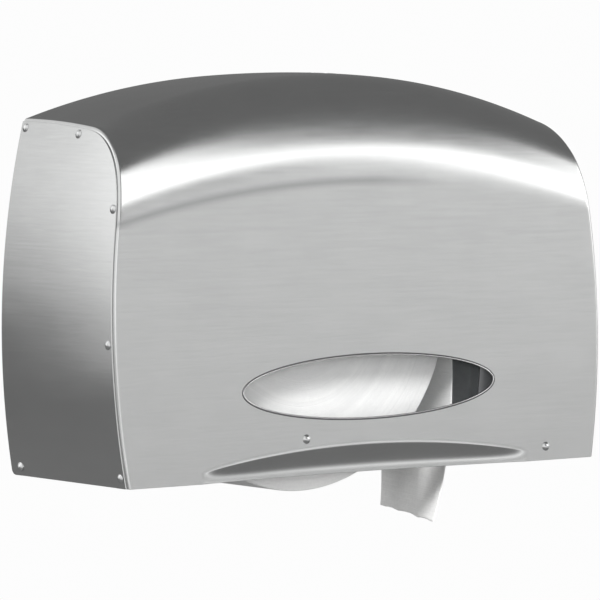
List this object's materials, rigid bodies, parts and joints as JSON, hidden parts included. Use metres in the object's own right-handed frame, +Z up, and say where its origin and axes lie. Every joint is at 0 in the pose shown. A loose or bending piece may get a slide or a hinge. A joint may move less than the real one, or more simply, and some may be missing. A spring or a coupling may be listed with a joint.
{
  "type": "jumbo toilet roll dispenser",
  "caption": "Wall dispenser for a jumbo toilet roll: arched steel cover on a bottom hinge, oval window, pressed lip, roll spindle and spare spindle.",
  "frame": {"origin": "middle of the four wall screw holes, on the back face of the back plate", "axes": "+Y into the wall, -Y out of the front, +X to the right as seen from the front, +Z up"},
  "size_m": [0.3886, 0.1262, 0.2877],
  "materials": {
    "brushed_stainless": "fine vertical brushed grain, satin",
    "plate_steel": "dull rolled steel",
    "zinc_steel": "bright zinc plate, semi-gloss",
    "rivet_steel": "polished",
    "lock_chrome": "polished",
    "white_nylon": "matte",
    "grey_plastic": "matte, moulded",
    "black_foam": "matte",
    "clear_lens": "clear, glossy",
    "tissue": "matte"
  },
  "bodies": {
    "wall_frame": {"back_plate": "plate_steel", "left_hinge_bracket": "zinc_steel", "right_hinge_bracket": "zinc_steel", "bracket_rivets": "zinc_steel", "hinge_washers": "white_nylon", "roll_axle": "zinc_steel", "roll_axle_rivets": "zinc_steel", "roll_washer": "zinc_steel", "roll_nut": "zinc_steel", "stub_axle": "zinc_steel", "stub_axle_rivets": "zinc_steel", "stub_washer": "zinc_steel", "stub_nut": "zinc_steel", "catch_bracket": "zinc_steel", "catch_rivets": "zinc_steel", "paper_tail": "tissue"},
    "cover": {"cover_wrap": "brushed_stainless", "left_side_panel": "brushed_stainless", "right_side_panel": "brushed_stainless", "left_panel_rivets": "rivet_steel", "right_panel_rivets": "rivet_steel", "hinge_pins": "rivet_steel", "window_lens": "clear_lens", "window_ring": "black_foam", "tear_bar": "brushed_stainless", "tear_bar_rivets": "rivet_steel", "lock_barrel": "lock_chrome", "lock_nut": "zinc_steel"},
    "lock_core": {"lock_plug": "lock_chrome", "lock_cam": "zinc_steel", "cam_screw": "zinc_steel"},
    "roll": {"roll_spindle": "grey_plastic", "jumbo_roll": "tissue"},
    "part_roll": {"stub_spindle": "grey_plastic"}
  },
  "joints": [
    {"name": "cover_hinge", "type": "hinge", "parent": "wall_frame", "child": "cover", "pos_m": [0, -0.011, -0.1095], "axis": [1, 0, 0], "range_deg": [0, 90], "deforming": ["paper_tail"]},
    {"name": "lock_turn", "type": "hinge", "parent": "cover", "child": "lock_core", "pos_m": [0.04, -0.026, 0.13312], "axis": [0.0699, 0.0197, 0.9974], "range_deg": [0, 90]},
    {"name": "roll_spin", "type": "hinge", "parent": "wall_frame", "child": "roll", "pos_m": [-0.037, -0.06, -0.01], "axis": [0, 1, 0], "continuous": true},
    {"name": "stub_spin", "type": "hinge", "parent": "wall_frame", "child": "part_roll", "pos_m": [0.126, -0.06, 0.011], "axis": [0, 1, 0], "continuous": true}
  ]
}
